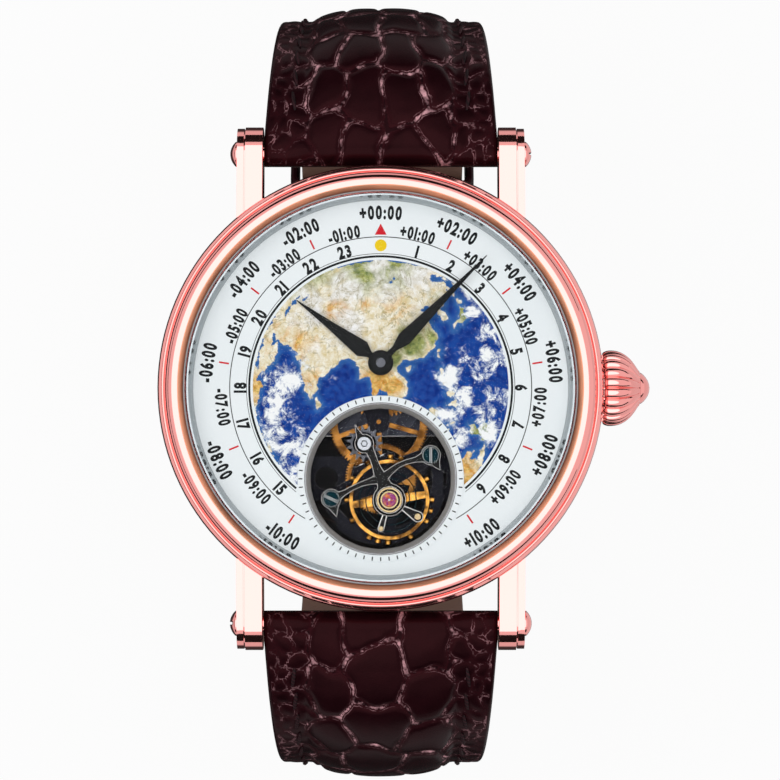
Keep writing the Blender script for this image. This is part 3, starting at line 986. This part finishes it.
# Alligator, glazed by rolling under agate: wine black on the scales, and where the skin creases
# the glaze breaks and the thin dye shows as narrow pink lines.
leather, tree, shader, place = material("alligator_glazed", "#0a0305", 0.0, 0.3,
                                        {"Specular IOR Level": 0.09, "Specular Tint": "#ff9aa0"})
crease = add(tree, "Attribute", {"attribute_name": "crease"}).outputs["Fac"]
dye, warp, lit = [add(tree, "TexNoise", {"mm": size, "Detail": detail, "Roughness": rough}, place)
                  for size, detail, rough in ((3.0, 5.0, 0.6), (0.8, 3.0, 0.6), (1.5, 5.0, 0.65))]
scale_tone = add(tree, "Mix", {"A": "#090204", "B": "#250b10"}, dye)
valley = add(tree, "MapRange", {"From Min": 0.2, "From Max": 0.8}, crease)
fold = add(tree, "Math", {"operation": "MULTIPLY_ADD", 1: 0.7}, {0: warp, 2: crease})
core = add(tree, "MapRange", {"From Min": 1.1, "From Max": 1.25}, fold)
beside = add(tree, "Math", {"operation": "COMPARE", 1: 0.92, 2: 0.045}, fold)
beside = add(tree, "Math", {"operation": "MULTIPLY"}, {0: beside, 1: valley})
line_at = add(tree, "Math", {"operation": "MULTIPLY_ADD", 1: 0.6, "use_clamp": True}, {0: beside, 2: core})
lit = add(tree, "MapRange", {"From Min": 0.47, "From Max": 0.68}, lit)
worn = add(tree, "Mix", {"A": "#16060a", "B": "#e2aab2"}, lit)
damp = add(tree, "Math", {"operation": "MULTIPLY", 1: 0.4}, valley)
base = add(tree, "Mix", {"B": "#3a1219"}, {0: damp, "A": scale_tone})
tone = add(tree, "Mix", {}, {0: line_at, "A": base, "B": worn})
pores = add(tree, "TexVoronoi", {"mm": 0.28, "feature": "DISTANCE_TO_EDGE"}, place)
fine = add(tree, "Math", {"operation": "MULTIPLY_ADD", 1: 0.15}, {0: pores, 2: line_at})
surface(shader, tone, add(tree, "MapRange", {"To Min": 0.24, "To Max": 0.45}, crease), fine, 0.35, 0.12)

# Calf, drum dyed and left matte, with its pores: the brown lining.
calf, tree, shader, place = material("calf_lining", "#5b3a2a", 0.0, 0.7, {"Sheen Weight": 0.15})
hair = add(tree, "TexVoronoi", {"mm": 0.22}, place)
cloudy = add(tree, "TexNoise", {"mm": 7, "Detail": 4.0}, place)
surface(shader, add(tree, "Mix", {"A": "#4c2f20", "B": "#6d4733"}, cloudy), None, hair, 0.4, 0.03)

# Linen thread, waxed and dyed to match: slightly lighter than the leather, with its twist.
thread, tree, shader, place = material("linen_thread_waxed", "#1c090d", 0.0, 0.6, {"Specular IOR Level": 0.15})
twist = add(tree, "TexWave", {"mm": 0.9, "Distortion": 1.0, "bands_direction": "DIAGONAL"}, place)
twist = twist.outputs["Fac"]
surface(shader, add(tree, "Mix", {"A": "#100406", "B": "#2c1016"}, twist), None, twist, 0.5, 0.04)

# Columns of scales as place across, pitch, size and wander
short_half = strap_half("strap_short_leather", "strap_12", SHORT, 5, (
    (-5.6, 4.4, 0.6, 0.35), (-1.9, 5.2, 0.95, 0.45), (1.9, 5.2, 0.95, 0.45), (5.6, 4.4, 0.6, 0.35)))
long_half = strap_half("strap_long_leather", "strap_6", LONG, 11, (
    (-5.6, 5.0, 0.5, 0.4), (-0.6, 5.6, 1.1, 0.6), (4.9, 5.4, 1.0, 0.5)))

# The short half is notched for the buckle's tongue, and the long one punched with seven holes
HOLES, HOLE_STEP, HOLE_FIRST, HOLE_R, NOTCH, THROUGH = 7, 6.5, 20, 0.95, 1.05, 5
cut_from(short_half, [swept([[local(SHORT, SHORT[0], x, t, n) for x, n in (
    (-NOTCH, -THROUGH), (-NOTCH, THROUGH), (NOTCH, THROUGH), (NOTCH, -THROUGH))] for t in (-2.4, 6)])], leather)
cut_from(long_half, [swept([[local(LONG, at, HOLE_R * c, HOLE_R * s, n) for c, s in circle(32)]
                            for n in (-THROUGH, THROUGH)])
                     for at in (LONG[0] - HOLE_FIRST - k * HOLE_STEP for k in range(HOLES))], leather)
for half, node in ((short_half, "strap_short"), (long_half, "strap_long")):
    even_shading(half)
    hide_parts(node)

STITCH_PITCH, STITCH_LEN, STITCH_STEPS, STITCH_PLACE, STITCH_SLANT, THREAD_R, THREAD_SINK = (
    2.7, 2.1, 6, 0.765, 0.12, 0.2, 0.8)


def stitches(form, stop):
    """Rows of slanted stitches along both margins, each a short thread that dives at its ends"""
    shapes, s = [], 5.0
    while s < stop:
        for side in (-1, 1):
            rings = []
            for k in range(STITCH_STEPS + 1):
                part = k / STITCH_STEPS
                t, size = STITCH_LEN * (part - 0.5), THREAD_R * (0.55 + 0.45 * math.sin(math.pi * part))
                lift = MARGIN_T + 0.02 + 0.12 * math.cos(math.pi * (part - 0.5)) ** 0.7
                x = side * (strap_half_width(s, form[0]) * STITCH_PLACE + STITCH_SLANT * t)
                rings.append([local(form, s, x + size * c, t, lift + size * THREAD_SINK * d)
                              for c, d in circle(8)])
            shapes.append(swept(rings))
        s += STITCH_PITCH
    return shapes


piece("strap_short_stitching", stitches(SHORT, SHORT[0] - 4), "strap_12", thread, "alligator", smooth=60)
piece("strap_long_stitching", stitches(LONG, LONG[0] - 10), "strap_6", thread, "alligator", smooth=60)

# Keepers: two loops of the same leather, glued and sewn underneath. One is held in the short half,
# the other slides on it.
KEEPER_W, KEEPER_T, KEEPER_BEND, KEEPER_ROOM, KEEPER_RING = 5.0, 1.0, 1.3, 0.35, 20


def keeper(name, s, body, node):
    """A rounded band of leather that runs round both halves of the strap"""
    half = ramp(s, 8, SHORT[0] * 0.75, STRAP_W, BUCKLE_W) / 2 + KEEPER_ROOM + KEEPER_T / 2
    low = -LINING_T - KEEPER_ROOM - KEEPER_T / 2
    high = MARGIN_T + PAD_H * 0.6 + LINING_T + MARGIN_T + 1.1 + KEEPER_T / 2
    path = []
    for k, (x, y) in enumerate(((1, high), (-1, high), (-1, low), (1, low))):
        inward = -KEEPER_BEND if y > 0 else KEEPER_BEND
        bend = arc(x * (half - KEEPER_BEND), y + inward, KEEPER_BEND, 90 * k, 90 * k + 90, 8)
        path += [(*spot, math.radians(90 * k + 90 * j / 8)) for j, spot in enumerate(bend)]
    rings = []
    for (x0, y0, a0), (x1, y1, a1) in zip(path, path[1:] + path[:1]):
        parts = 1 if math.hypot(x1 - x0, y1 - y0) < 1 else 10
        a1 = a1 if a1 >= a0 else a1 + 2 * math.pi
        for part in (j / parts for j in range(parts)):
            x, y, a = x0 + (x1 - x0) * part, y0 + (y1 - y0) * part, a0 + (a1 - a0) * part
            ring = []
            for c, d in circle(KEEPER_RING):
                across = math.copysign(abs(c) ** 0.35, c) * KEEPER_W / 2
                thick = math.copysign(abs(d) ** 0.6, d) * KEEPER_T / 2 * (1 - 0.1 * c ** 4)
                ring.append(local(SHORT, s, x + math.cos(a) * thick, across, y + math.sin(a) * thick))
            rings.append(ring)
    piece(name, [swept(rings, True)], body, leather, "alligator", node, smooth=50)


keeper("keeper_fixed_leather", SHORT[0] - 9, "strap_12", "fixed_keeper")
keeper("keeper_free_leather", SHORT[0] - 24, "loop", "free_keeper")
